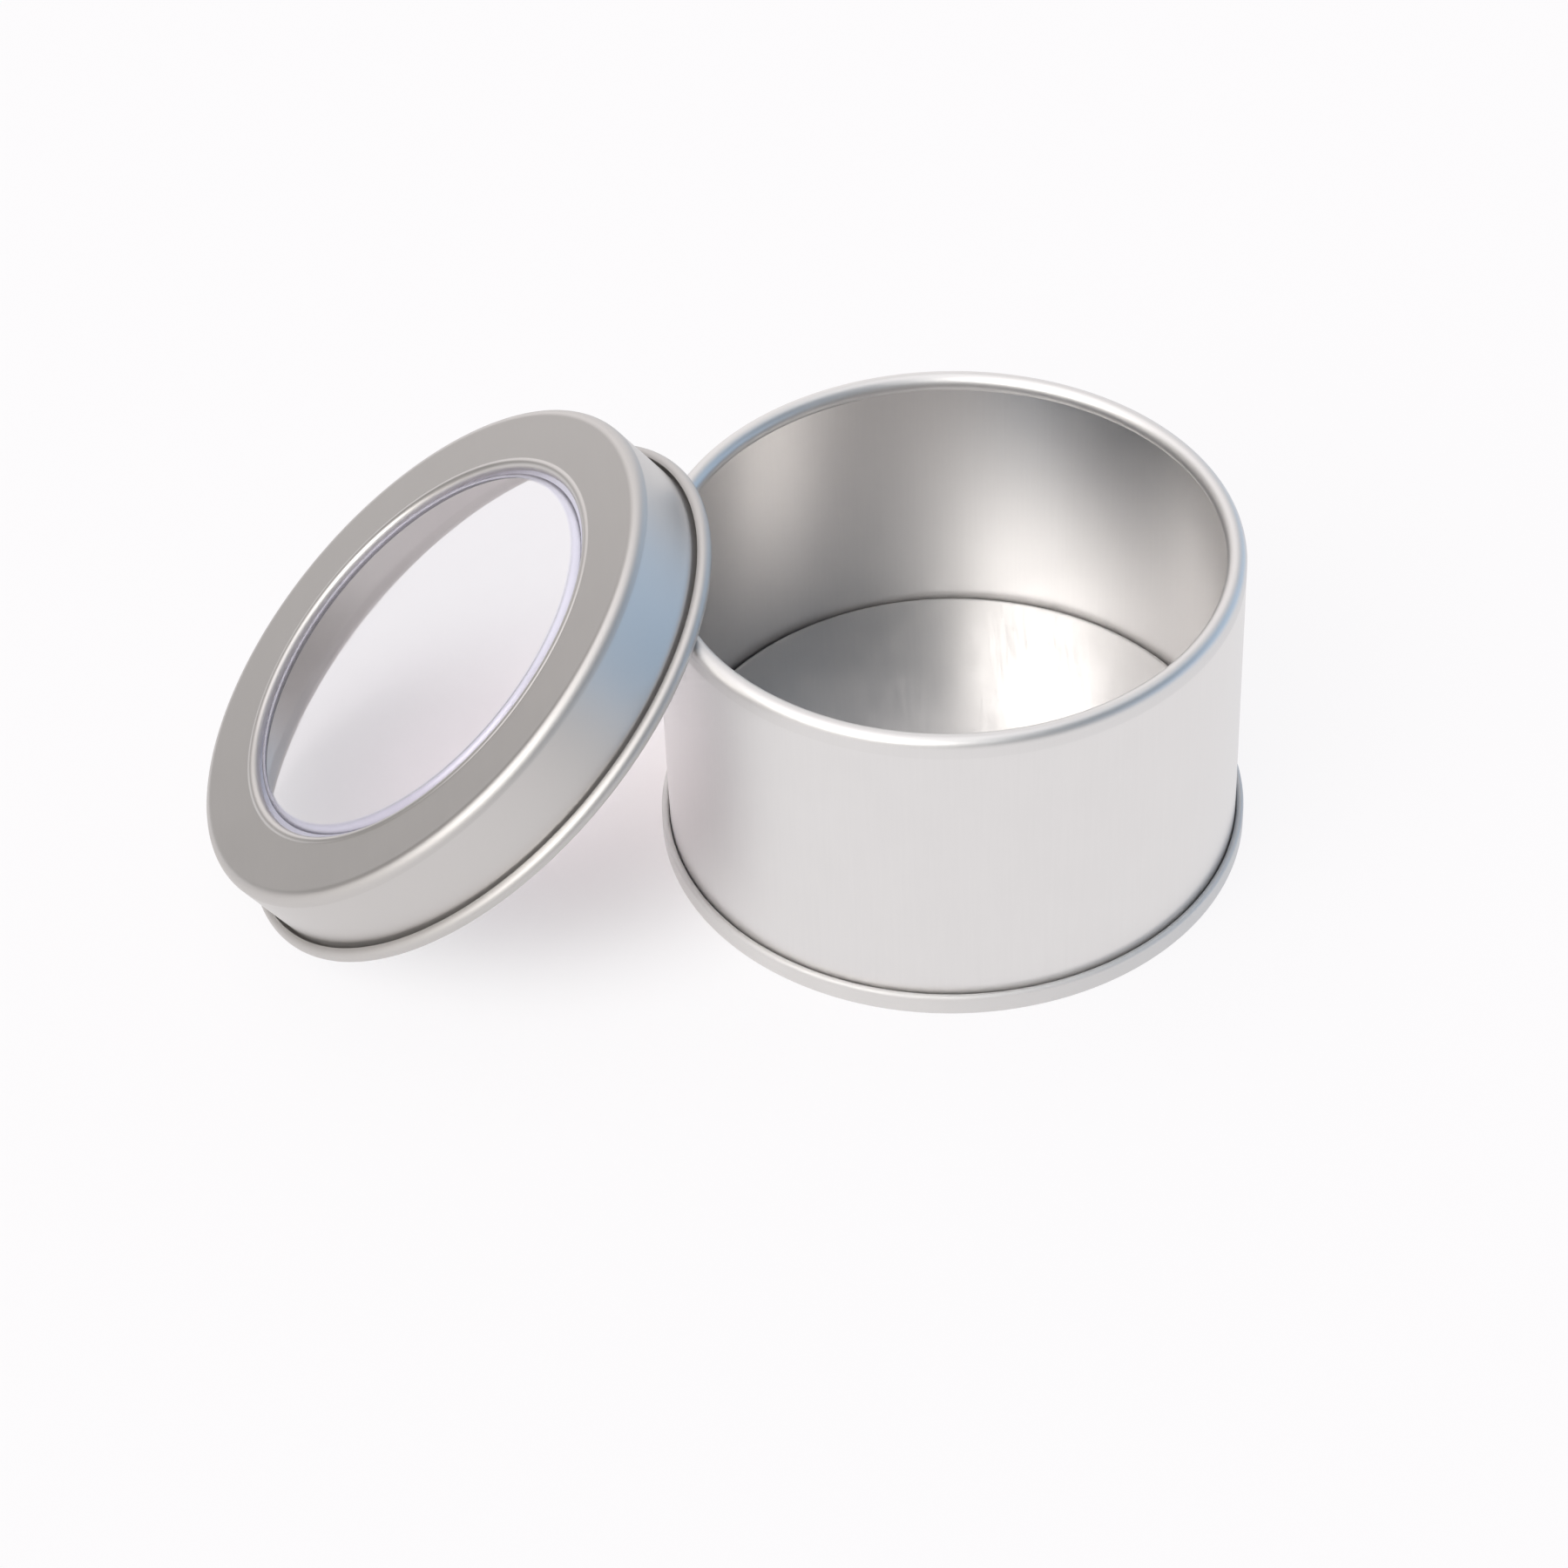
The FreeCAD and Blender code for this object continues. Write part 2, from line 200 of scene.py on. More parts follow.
class Outline:
    """A sheet's section as radius and height: corners joined by straight runs and arcs."""

    def __init__(self, finishes):
        self.finishes = finishes
        self.corners = []

    def to(self, across, up, arc=None, left=False):
        """Add a corner. An arc is the radius of the stretch that leads to it, turning left or right."""
        self.corners.append((Vector((across, up)), arc, left))

    def points(self, closed):
        """The outline's points: arcs in even steps, and flat runs held near both ends."""
        found = [] if closed else [self.corners[0][0]]
        for i in range(0 if closed else 1, len(self.corners)):
            start = self.corners[i - 1][0]
            stop, arc, left = self.corners[i]
            if arc:
                found += self.arc_points(start, stop, arc, left)
            else:
                found += self.run_points(start, stop)
        return found

    def run_points(self, start, stop):
        """A straight run, with points close to its ends that keep its shading flat."""
        run = stop - start
        hold = self.finishes.hold
        if run.length < SUPPORTED_RUN * hold:
            return [stop]
        step = run.normalized() * hold
        return [start + step, stop - step, stop]

    def arc_points(self, start, stop, radius, left):
        """A round stretch of the given radius, at most a half circle."""
        chord = stop - start
        half = chord.length / 2
        rise = math.sqrt(max(radius * radius - half * half, 0))
        side = Vector((-chord.y, chord.x)).normalized() * (rise if left else -rise)
        centre = (start + stop) / 2 + side
        sweep = 2 * math.asin(min(half / radius, 1)) * (1 if left else -1)
        count = max(2, math.ceil(abs(sweep) / self.finishes.arc_step))
        arm = start - centre
        turns = [Matrix.Rotation(sweep * k / count, 2) for k in range(1, count)]
        return [centre + turn @ arm for turn in turns] + [stop]


def wall_outline(settings):
    """Wall with its foot folded out and up as the seam's inner hook, and an inward curl at the rim."""
    tin = settings.tin
    wall = tin.wall_radius
    wall_in = wall - tin.sheet
    hook_in = wall + 2 * tin.seam_gap + tin.sheet
    hook_out = hook_in + tin.sheet
    fold = (hook_out - wall_in) / 2
    fold_in = fold - tin.sheet
    fold_mid = wall_in + fold
    fold_up = tin.sheet + tin.seam_gap + fold
    curl = tin.curl_radius
    curl_in = curl - tin.sheet
    curl_mid = wall - curl
    curl_up = tin.height - curl
    end_out = math.sin(tin.curl_turn)
    end_down = math.cos(tin.curl_turn)
    path = Outline(settings.finishes)
    path.to(wall_in, fold_up)
    path.to(fold_mid, fold_up - fold, fold, True)
    path.to(hook_out, fold_up, fold, True)
    path.to(hook_out, tin.hook_height)
    path.to(hook_in, tin.hook_height)
    path.to(hook_in, fold_up)
    path.to(fold_mid, fold_up - fold_in, fold_in)
    path.to(wall, fold_up, fold_in)
    path.to(wall, curl_up)
    path.to(curl_mid, tin.height, curl, True)
    path.to(curl_mid - curl, curl_up, curl, True)
    path.to(curl_mid, curl_up - curl, curl, True)
    path.to(curl_mid + curl * end_out, curl_up - curl * end_down, curl, True)
    path.to(curl_mid + curl_in * end_out, curl_up - curl_in * end_down)
    path.to(curl_mid, curl_up - curl_in, curl_in)
    path.to(curl_mid - curl_in, curl_up, curl_in)
    path.to(curl_mid, curl_up + curl_in, curl_in)
    path.to(wall_in, curl_up, curl_in)
    return path


def base_outline(settings):
    """Raised floor, its wall down inside the tin, the flat foot, and the seam rolled over the hook."""
    tin = settings.tin
    sheet = tin.sheet
    bend = tin.seam_bend
    bend_in = bend - sheet
    cover_in = tin.wall_radius + tin.seam_gap
    seam_out = tin.wall_radius + 3 * tin.seam_gap + 3 * sheet
    chuck_out = tin.wall_radius - sheet - tin.seam_gap
    chuck_in = chuck_out - sheet
    floor = tin.floor_height
    shoulder = tin.floor_shoulder
    shoulder_mid = chuck_out - shoulder
    shoulder_up = floor - shoulder
    roll = (seam_out - cover_in) / 2
    roll_in = roll - sheet
    roll_mid = cover_in + roll
    roll_up = tin.seam_height - roll
    cover_foot = 2 * sheet + 3 * tin.seam_gap
    path = Outline(settings.finishes)
    path.to(0, floor - sheet)
    path.to(shoulder_mid, floor - sheet)
    path.to(chuck_in, shoulder_up, shoulder - sheet)
    path.to(chuck_in, bend)
    path.to(chuck_in + bend, 0, bend, True)
    path.to(seam_out - bend, 0)
    path.to(seam_out, bend, bend, True)
    path.to(seam_out, roll_up)
    path.to(roll_mid, tin.seam_height, roll, True)
    path.to(cover_in, roll_up, roll, True)
    path.to(cover_in, cover_foot)
    path.to(cover_in + sheet, cover_foot)
    path.to(cover_in + sheet, roll_up)
    path.to(roll_mid, roll_up + roll_in, roll_in)
    path.to(roll_mid + roll_in, roll_up, roll_in)
    path.to(seam_out - sheet, bend)
    path.to(seam_out - bend, sheet, bend_in)
    path.to(chuck_in + bend, sheet)
    path.to(chuck_out, bend, bend_in)
    path.to(chuck_out, shoulder_up)
    path.to(shoulder_mid, floor, shoulder, True)
    path.to(0, floor)
    return path


def bead_ring(settings):
    """Radius of the circle that the middle of the lid's bead follows."""
    return settings.tin.wall_radius + settings.lid.clearance + settings.lid.bead_radius


def lid_outline(settings):
    """Flat top, a low raised edge turned down round the window, a round corner, a skirt and a curled bead."""
    lid = settings.lid
    sheet = lid.sheet
    skirt_in = settings.tin.wall_radius + lid.clearance
    skirt_out = skirt_in + sheet
    top = lid.height
    corner_mid = skirt_out - lid.corner
    corner_up = top - lid.corner
    corner_in = lid.corner - sheet
    edge = lid.window_radius
    roll = lid.window_roll
    roll_mid = edge + roll
    roll_up = top - roll * math.cos(lid.window_lift)
    roll_in = roll - sheet
    under_end = roll_mid + math.sqrt(roll_in ** 2 - (top - sheet - roll_up) ** 2)
    edge_foot = top - lid.window_edge
    bead = lid.bead_radius
    bead_in = bead - sheet
    ring = bead_ring(settings)
    end_in = math.sin(lid.bead_turn)
    end_up = math.cos(lid.bead_turn)
    path = Outline(settings.finishes)
    path.to(skirt_out, corner_up)
    path.to(corner_mid, top, lid.corner, True)
    path.to(roll_mid + roll * math.sin(lid.window_lift), top)
    path.to(roll_mid, roll_up + roll, roll, True)
    path.to(edge, roll_up, roll, True)
    path.to(edge, edge_foot)
    path.to(edge + sheet, edge_foot)
    path.to(edge + sheet, roll_up)
    path.to(roll_mid, roll_up + roll_in, roll_in)
    path.to(under_end, top - sheet, roll_in)
    path.to(corner_mid, top - sheet)
    path.to(skirt_in, corner_up, corner_in)
    path.to(skirt_in, bead)
    path.to(ring, 0, bead, True)
    path.to(ring + bead, bead, bead, True)
    path.to(ring, 2 * bead, bead, True)
    path.to(ring - bead * end_in, bead + bead * end_up, bead, True)
    path.to(ring - bead_in * end_in, bead + bead_in * end_up)
    path.to(ring, bead + bead_in, bead_in)
    path.to(ring + bead_in, bead, bead_in)
    path.to(ring, sheet, bead_in)
    path.to(skirt_out, bead, bead_in)
    return path


def window_outline(settings):
    """Clear formed sheet: a plateau in the opening, its round shoulder, and a flange under the metal edge."""
    lid = settings.lid
    window = settings.window
    sheet = window.sheet
    plateau_up = lid.height - window.plateau_drop
    flange_up = lid.height - lid.window_edge - window.fit
    flange_out = lid.window_radius + window.flange_width
    rise = plateau_up - flange_up
    root = lid.window_radius - window.edge_room
    plateau = root - window.shoulder_width
    shoulder = (window.shoulder_width ** 2 + rise ** 2) / (2 * rise)
    shoulder_in = shoulder - sheet
    root_in = plateau + math.sqrt(shoulder_in ** 2 - (shoulder - rise - sheet) ** 2)
    path = Outline(settings.finishes)
    path.to(0, plateau_up - sheet)
    path.to(plateau, plateau_up - sheet)
    path.to(root_in, flange_up - sheet, shoulder_in)
    path.to(flange_out, flange_up - sheet)
    path.to(flange_out, flange_up)
    path.to(root, flange_up)
    path.to(plateau, plateau_up, shoulder, True)
    path.to(0, plateau_up)
    return path


def lid_turn(settings):
    """How the lid is turned: tipped by its lean, then swung to its bearing."""
    lid = settings.lid
    return Euler((0, lid.lean_angle, lid.lean_bearing + lid.lean_skew))


def lid_place(settings):
    """Middle of the bead's lowest plane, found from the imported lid's own box."""
    low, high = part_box("lid_ring")
    axis = lid_turn(settings).to_matrix() @ Vector((0, 0, 1))
    ring = bead_ring(settings)
    bead = settings.lid.bead_radius
    middle = Vector((
        high.x - bead - ring * math.sqrt(1 - axis.x ** 2),
        (low.y + high.y) / 2,
        low.z + bead + ring * math.sqrt(1 - axis.z ** 2),
    ))
    return middle - axis * bead


def turning_tree():
    """Geometry Nodes tree that turns a section round an upright axis and then leans and places it."""
    tree = bpy.data.node_groups.new("Turn a sheet section", "GeometryNodeTree")
    for name, kind in (("Section", "NodeSocketObject"), ("Ring", "NodeSocketFloat"),
                       ("Steps", "NodeSocketInt"), ("Weld", "NodeSocketFloat"),
                       ("Place", "NodeSocketVector"), ("Turn", "NodeSocketVector"),
                       ("Material", "NodeSocketMaterial")):
        tree.interface.new_socket(name, in_out="INPUT", socket_type=kind)
    tree.interface.new_socket("Geometry", in_out="OUTPUT", socket_type="NodeSocketGeometry")
    given = add_node(tree, "NodeGroupInput").outputs
    section = add_node(tree, "GeometryNodeObjectInfo", inputs={"Object": given["Section"]})
    circle = add_node(tree, "GeometryNodeCurvePrimitiveCircle",
                      inputs={"Resolution": given["Steps"], "Radius": given["Ring"]})
    turned = add_node(tree, "GeometryNodeCurveToMesh",
                      inputs={"Curve": circle.outputs["Curve"], "Profile Curve": section.outputs["Geometry"]})
    welded = add_node(tree, "GeometryNodeMergeByDistance",
                      inputs={"Geometry": turned.outputs["Mesh"], "Distance": given["Weld"]})
    smooth = add_node(tree, "GeometryNodeSetShadeSmooth", inputs={"Geometry": welded.outputs["Geometry"]})
    placed = add_node(tree, "GeometryNodeTransform",
                      inputs={"Geometry": smooth.outputs["Geometry"], "Translation": given["Place"],
                              "Rotation": given["Turn"]})
    real = add_node(tree, "GeometryNodeRealizeInstances", inputs={"Geometry": placed.outputs["Geometry"]})
    dressed = add_node(tree, "GeometryNodeSetMaterial",
                       inputs={"Geometry": real.outputs["Geometry"], "Material": given["Material"]})
    add_node(tree, "NodeGroupOutput", inputs={"Geometry": dressed.outputs["Geometry"]})
    return tree


def section_curve(name, points, closed, ring):
    """Curve of a section for the turning tree, whose profiles have their height downward."""
    curve = bpy.data.curves.new(name, "CURVE")
    spline = curve.splines.new("POLY")
    spline.points.add(len(points) - 1)
    for spot, point in zip(spline.points, reversed(points)):
        spot.co = (point.x - ring, -point.y, 0, 1)
    spline.use_cyclic_u = closed
    section = bpy.data.objects.new(name, curve)
    bpy.context.scene.collection.objects.link(section)
    return section


def turn_piece(name, outline, closed, material, place=Vector(), turn=Euler()):
    """Turn a section to a finished mesh object, with its place in the mesh."""
    settings = bpy.context.scene.window_tin
    ring = settings.tin.wall_radius
    section = section_curve(f"{name}_section", outline.points(closed), closed, ring)
    carrier = bpy.data.objects.new(f"{name}_carrier", bpy.data.meshes.new(f"{name}_carrier"))
    bpy.context.scene.collection.objects.link(carrier)
    tree = bpy.data.node_groups.get("Turn a sheet section") or turning_tree()
    modifier = carrier.modifiers.new("Turn", "NODES")
    modifier.node_group = tree
    values = {"Section": section, "Ring": ring, "Steps": settings.finishes.turning_steps,
              "Weld": settings.finishes.hold * WELD_SHARE, "Place": place, "Turn": Vector(turn),
              "Material": material}
    for item in tree.interface.items_tree:
        if item.name in values:
            modifier[item.identifier] = values[item.name]
    carrier.data.update()
    evaluated = carrier.evaluated_get(bpy.context.evaluated_depsgraph_get())
    mesh = bpy.data.meshes.new_from_object(evaluated)
    if not mesh.polygons:
        raise RuntimeError(f"{name} came out empty")
    mesh.name = name
    mesh.set_sharp_from_angle(angle=SHARP_ANGLE)
    carrier.modifiers.remove(modifier)
    bpy.data.objects.remove(carrier)
    bpy.data.objects.remove(section)
    piece = bpy.data.objects.new(name, mesh)
    bpy.context.scene.collection.objects.link(piece)
    return piece


def new_material(name):
    """An empty node material, and its tree."""
    material = bpy.data.materials.new(name)
    material.use_nodes = True
    material.node_tree.nodes.clear()
    return material, material.node_tree


def piece_frame(tree, place, turn):
    """Where a spot of a piece is in the upright frame that the piece was turned in."""
    spot = add_node(tree, "ShaderNodeTexCoord").outputs["Object"]
    upright = add_node(tree, "ShaderNodeMapping", {"vector_type": "TEXTURE"},
                       {"Vector": spot, "Location": place, "Rotation": turn})
    return upright.outputs["Vector"]


def tinplate(name, coat, matt, uneven, grain, curls, place=Vector(), turn=Euler()):
    """Cold rolled steel strip with a matt melted tin coat.

    It mirrors its surroundings softly. Rolling lines, along the sheet's grain, make the gloss uneven in
    fine streaks, the coat has a faint cloudiness, and the sheet is never quite flat, so edges of mirrored
    things wander a little. Where the sheet is bent, its stretched coat is more matt. matt is the mean
    roughness, uneven the share by which the coat's tone varies, grain how much longer the streaks are
    along each axis, and curls the lowest and highest point of each bend.
    """
    curl_matt = 0.2
    curl_fade = 0.25 * MM
    streak, streak_detail, streak_depth = 0.35 * MM, 3.0, 0.0001 * MM
    cloud, cloud_detail = 7 * MM, 4.0
    swell, swell_detail, swell_depth = 11 * MM, 1.0, 0.012 * MM
    mixed_low, mixed_high = 0.6, 1.4
    gloss_uneven = 4 * uneven
    material, tree = new_material(name)
    spot = piece_frame(tree, place, turn)
    along = add_node(tree, "ShaderNodeMapping", inputs={"Vector": spot, "Scale": [1 / g for g in grain]})
    streaks = add_node(tree, "ShaderNodeTexNoise",
                       inputs={"Vector": along.outputs["Vector"], "Scale": 1 / streak,
                               "Detail": streak_detail})
    clouds = add_node(tree, "ShaderNodeTexNoise",
                      inputs={"Vector": spot, "Scale": 1 / cloud, "Detail": cloud_detail})
    swells = add_node(tree, "ShaderNodeTexNoise",
                      inputs={"Vector": spot, "Scale": 1 / swell, "Detail": swell_detail})
    mixed = add_node(tree, "ShaderNodeMath", {"operation": "ADD"},
                     {0: streaks.outputs["Fac"], 1: clouds.outputs["Fac"]})
    rough = add_node(tree, "ShaderNodeMapRange",
                     inputs={"Value": mixed.outputs["Value"], "From Min": mixed_low, "From Max": mixed_high,
                             "To Min": matt * (1 - gloss_uneven), "To Max": matt * (1 + gloss_uneven)})
    height = add_node(tree, "ShaderNodeSeparateXYZ", inputs={"Vector": spot}).outputs["Z"]
    for low, high in curls:
        half = (high - low) / 2
        away = add_node(tree, "ShaderNodeMath", {"operation": "SUBTRACT"}, {0: height, 1: low + half})
        away = add_node(tree, "ShaderNodeMath", {"operation": "ABSOLUTE"}, {0: away.outputs["Value"]})
        curled = add_node(tree, "ShaderNodeMapRange", {"interpolation_type": "SMOOTHSTEP"},
                          {"Value": away.outputs["Value"], "From Min": half, "From Max": half + curl_fade,
                           "To Min": curl_matt, "To Max": 0.0})
        rough = add_node(tree, "ShaderNodeMath", {"operation": "ADD"},
                         {0: rough.outputs[0], 1: curled.outputs["Result"]})
    tone = add_node(tree, "ShaderNodeMapRange",
                    inputs={"Value": mixed.outputs["Value"], "From Min": mixed_low, "From Max": mixed_high,
                            "To Min": 1 - uneven, "To Max": 1 + uneven})
    base = add_node(tree, "ShaderNodeVectorMath", {"operation": "SCALE"},
                    {0: coat, "Scale": tone.outputs["Result"]})
    wave = add_node(tree, "ShaderNodeBump", inputs={"Height": swells.outputs["Fac"], "Distance": swell_depth})
    lines = add_node(tree, "ShaderNodeBump",
                     inputs={"Height": streaks.outputs["Fac"], "Distance": streak_depth,
                             "Normal": wave.outputs["Normal"]})
    metal = add_node(tree, "ShaderNodeBsdfPrincipled",
                     inputs={"Base Color": base.outputs["Vector"], "Metallic": 1.0,
                             "Roughness": rough.outputs["Value"], "Normal": lines.outputs["Normal"]})
    add_node(tree, "ShaderNodeOutputMaterial", inputs={"Surface": metal.outputs["BSDF"]})
    return material


def formed_clear_sheet(settings, place, turn):
    """Clear rigid PVC sheet, formed hot over a tool.

    It is glossy and all but colourless, with a violet-blue cast where light runs along inside it, and its
    surface has the slight swell that forming leaves. Where it was stretched, from the shoulder outward, it is
    less glossy and more violet. The studio's light goes through it to the floor.
    """
    swell, swell_detail, swell_depth = 6 * MM, 1.0, 0.01 * MM
    matt_low, matt_high, stretched_matt = 0.01, 0.05, 0.22
    refraction = 1.54
    depth = 25 * MM
    blend = 0.2 * MM
    tint, stretched = settings.finishes.clear_sheet, settings.finishes.clear_bend
    window = settings.window
    bend = settings.lid.window_radius - window.edge_room - window.shoulder_width
    cast = linear("#7A00EA")
    material, tree = new_material("clear_pvc_formed")
    spot = piece_frame(tree, place, turn)
    swells = add_node(tree, "ShaderNodeTexNoise",
                      inputs={"Vector": spot, "Scale": 1 / swell, "Detail": swell_detail})
    wave = add_node(tree, "ShaderNodeBump", inputs={"Height": swells.outputs["Fac"], "Distance": swell_depth})
    level = add_node(tree, "ShaderNodeVectorMath", {"operation": "MULTIPLY"}, {0: spot, 1: (1, 1, 0)})
    across = add_node(tree, "ShaderNodeVectorMath", {"operation": "LENGTH"}, {0: level.outputs["Vector"]})
    share = add_node(tree, "ShaderNodeMapRange", {"interpolation_type": "SMOOTHSTEP"},
                     {"Value": across.outputs["Value"], "From Min": bend - blend, "From Max": bend + blend})
    base = add_node(tree, "ShaderNodeMix", {"data_type": "RGBA"},
                    {MIX_SHARE: share.outputs["Result"], MIX_FIRST: (*tint, 1), MIX_SECOND: (*stretched, 1)})
    gloss = add_node(tree, "ShaderNodeMapRange",
                     inputs={"Value": swells.outputs["Fac"], "To Min": matt_low, "To Max": matt_high})
    rough = add_node(tree, "ShaderNodeMath", {"operation": "MULTIPLY_ADD"},
                     {0: share.outputs["Result"], 1: stretched_matt, 2: gloss.outputs["Result"]})
    clear = add_node(tree, "ShaderNodeBsdfPrincipled",
                     inputs={"Base Color": base.outputs[MIX_COLOUR], "Roughness": rough.outputs["Value"],
                             "IOR": refraction, "Transmission Weight": 1.0, "Normal": wave.outputs["Normal"]})
    open_way = add_node(tree, "ShaderNodeBsdfTransparent", inputs={"Color": (*tint, 1)})
    path = add_node(tree, "ShaderNodeLightPath")
    both = add_node(tree, "ShaderNodeMixShader",
                    inputs={"Fac": path.outputs["Is Shadow Ray"], 1: clear.outputs["BSDF"],
                            2: open_way.outputs["BSDF"]})
    inside = add_node(tree, "ShaderNodeVolumeAbsorption", inputs={"Color": (*cast, 1), "Density": 1 / depth})
    add_node(tree, "ShaderNodeOutputMaterial",
             inputs={"Surface": both.outputs["Shader"], "Volume": inside.outputs["Volume"]})
    return material


def floor_paint(studio):
    """Matt studio board of a pale pinkish grey that keeps soft shadows, with plain white painted over it.

    Where it is seen, itself or in the metal or through the window, part of it is plain white. This is a
    painted glow that lightens the real shadows, and more of it is painted away from a fixed spot under the
    leaning lid. At that spot the board's own darker colour shows, so there it is painted shade on top of the
    real shadow, and it stays when the lid moves. The painted white is only seen: it lights no matt thing.
    """
    material, tree = new_material("board_with_painted_light_and_shade")
    board = add_node(tree, "ShaderNodeBsdfDiffuse", inputs={"Color": (*studio.floor_paint, 1)})
    white = add_node(tree, "ShaderNodeEmission", inputs={"Color": (*studio.floor_painted_white, 1), "Strength": 1.0})
    spot = add_node(tree, "ShaderNodeTexCoord").outputs["Object"]
    away = add_node(tree, "ShaderNodeVectorMath", {"operation": "DISTANCE"},
                    {0: spot, 1: (-studio.shade_left, studio.shade_back, 0)})
    # Share of painted white: smallest at the fixed spot of painted shade, growing away from it.
    painted_whiteness = add_node(tree, "ShaderNodeMapRange", {"interpolation_type": "SMOOTHSTEP"},
                         {"Value": away.outputs["Value"], "From Min": studio.shade_radius,
                          "From Max": studio.white_radius, "To Min": PAINTED_WHITE_NEAR, "To Max": PAINTED_WHITE_FAR})
    path = add_node(tree, "ShaderNodeLightPath").outputs
    seen = add_node(tree, "ShaderNodeMath", {"operation": "MAXIMUM"},
                    {0: path["Is Camera Ray"], 1: path["Is Glossy Ray"]})
    seen = add_node(tree, "ShaderNodeMath", {"operation": "MAXIMUM"},
                    {0: seen.outputs["Value"], 1: path["Is Transmission Ray"]})
    share = add_node(tree, "ShaderNodeMath", {"operation": "MULTIPLY"},
                     {0: seen.outputs["Value"], 1: painted_whiteness.outputs["Result"]})
    both = add_node(tree, "ShaderNodeMixShader",
                    inputs={"Fac": share.outputs["Value"], 1: board.outputs["BSDF"],
                            2: white.outputs["Emission"]})
    add_node(tree, "ShaderNodeOutputMaterial", inputs={"Surface": both.outputs["Shader"]})
    return material


def direction(bearing, height):
    """Unit vector to a place in the studio: bearing from the camera's side, to the right, and height."""
    b, h = math.radians(bearing), math.radians(height)
    return Vector((math.sin(b) * math.cos(h), -math.cos(b) * math.cos(h), math.sin(h)))


PATCHES = {
    # name: bearing and height in degrees, degrees from its middle to where it fades and ends, linear colour
    "overhead": (-80, 76, 22, 50, (1.62, 1.59, 1.60)),
    "camera_side": (18, 46, 18, 48, (0.095, 0.12, 0.15)),
    "soft_box": (-39, 43, 15, 27, (5.3, 5.25, 5.13)),
    "cool_side": (102, 12, 26, 54, (0.58, 0.80, 1.06)),
    "dark_side": (80, 44, 10, 30, (0.10, 0.14, 0.18)),
    "back": (-172, 12, 22, 42, (1.16, 1.13, 1.13)),
    "left": (-112, 14, 12, 34, (0.32, 0.31, 0.30)),
}


def studio_world(studio):
    """A grey room with soft boxes and paler, darker and cooler sides, which light the tin."""
    world = bpy.data.worlds.new("studio")
    world.use_nodes = True
    tree = world.node_tree
    tree.nodes.clear()
    way = add_node(tree, "ShaderNodeTexCoord").outputs["Generated"]
    tint = (*studio.surroundings, 1)
    for bearing, height, fades, ends, patch in PATCHES.values():
        side = add_node(tree, "ShaderNodeVectorMath", {"operation": "DOT_PRODUCT"},
                        {0: way, 1: direction(bearing, height)})
        share = add_node(tree, "ShaderNodeMapRange", {"interpolation_type": "SMOOTHSTEP"},
                         {"Value": side.outputs["Value"], "From Min": math.cos(math.radians(ends)),
                          "From Max": math.cos(math.radians(fades))})
        mixed = add_node(tree, "ShaderNodeMix", {"data_type": "RGBA"},
                         {MIX_SHARE: share.outputs["Result"], MIX_FIRST: tint, MIX_SECOND: (*patch, 1)})
        tint = mixed.outputs[MIX_COLOUR]
    light = add_node(tree, "ShaderNodeBackground", inputs={"Color": tint})
    add_node(tree, "ShaderNodeOutputWorld", inputs={"Surface": light.outputs["Background"]})
    bpy.context.scene.world = world


def photo_camera(studio):
    """Camera at the photograph's viewing angle."""
    cosine, sine = math.cos(studio.view_down), math.sin(studio.view_down)
    level = Vector((1, 0, 0))
    down = Vector((0, -sine, -cosine))
    ahead = Vector((0, cosine, -sine))
    across = level * math.cos(studio.view_roll) - down * math.sin(studio.view_roll)
    below = level * math.sin(studio.view_roll) + down * math.cos(studio.view_roll)
    lens = bpy.data.cameras.new("camera")
    lens.lens = studio.lens
    camera = bpy.data.objects.new("camera", lens)
    spot = -(across * studio.aim_left + below * studio.aim_up + ahead * studio.view_distance)
    turn = Matrix((across, -below, -ahead)).transposed().to_4x4()
    camera.matrix_world = Matrix.Translation(spot) @ turn
    bpy.context.scene.collection.objects.link(camera)
    bpy.context.scene.camera = camera


def pale_floor(studio):
    """Round floor under the tin."""
    mesh = bpy.data.meshes.new("floor")
    turns = [math.tau * k / FLOOR_CORNERS for k in range(FLOOR_CORNERS)]
    rim = [(studio.floor_radius * math.cos(t), studio.floor_radius * math.sin(t), 0) for t in turns]
    mesh.from_pydata(rim, [], [range(FLOOR_CORNERS)])
    mesh.materials.append(floor_paint(studio))
    floor = bpy.data.objects.new("floor", mesh)
    bpy.context.scene.collection.objects.link(floor)


def dress(piece, body, node):
    """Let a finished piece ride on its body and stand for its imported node."""
    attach(piece, body)
    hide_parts(node)


class WINDOWTIN_OT_wall(bpy.types.Operator):
    """Turn the rolled wall with its curled rim"""
    bl_idname = "window_tin.wall"
    bl_label = "Rolled Wall"

    def execute(self, context):
        settings = context.scene.window_tin
        tin = settings.tin
        curls = [(tin.height - 2 * tin.curl_radius, tin.height)]
        plate = tinplate("tinplate_rolled", settings.finishes.tin_coat, matt=0.30, uneven=0.015,
                         grain=(1, 1, 30), curls=curls)
        wall = turn_piece("rolled_wall", wall_outline(settings), True, plate)
        dress(wall, "tin", "tin_wall")
        return {"FINISHED"}


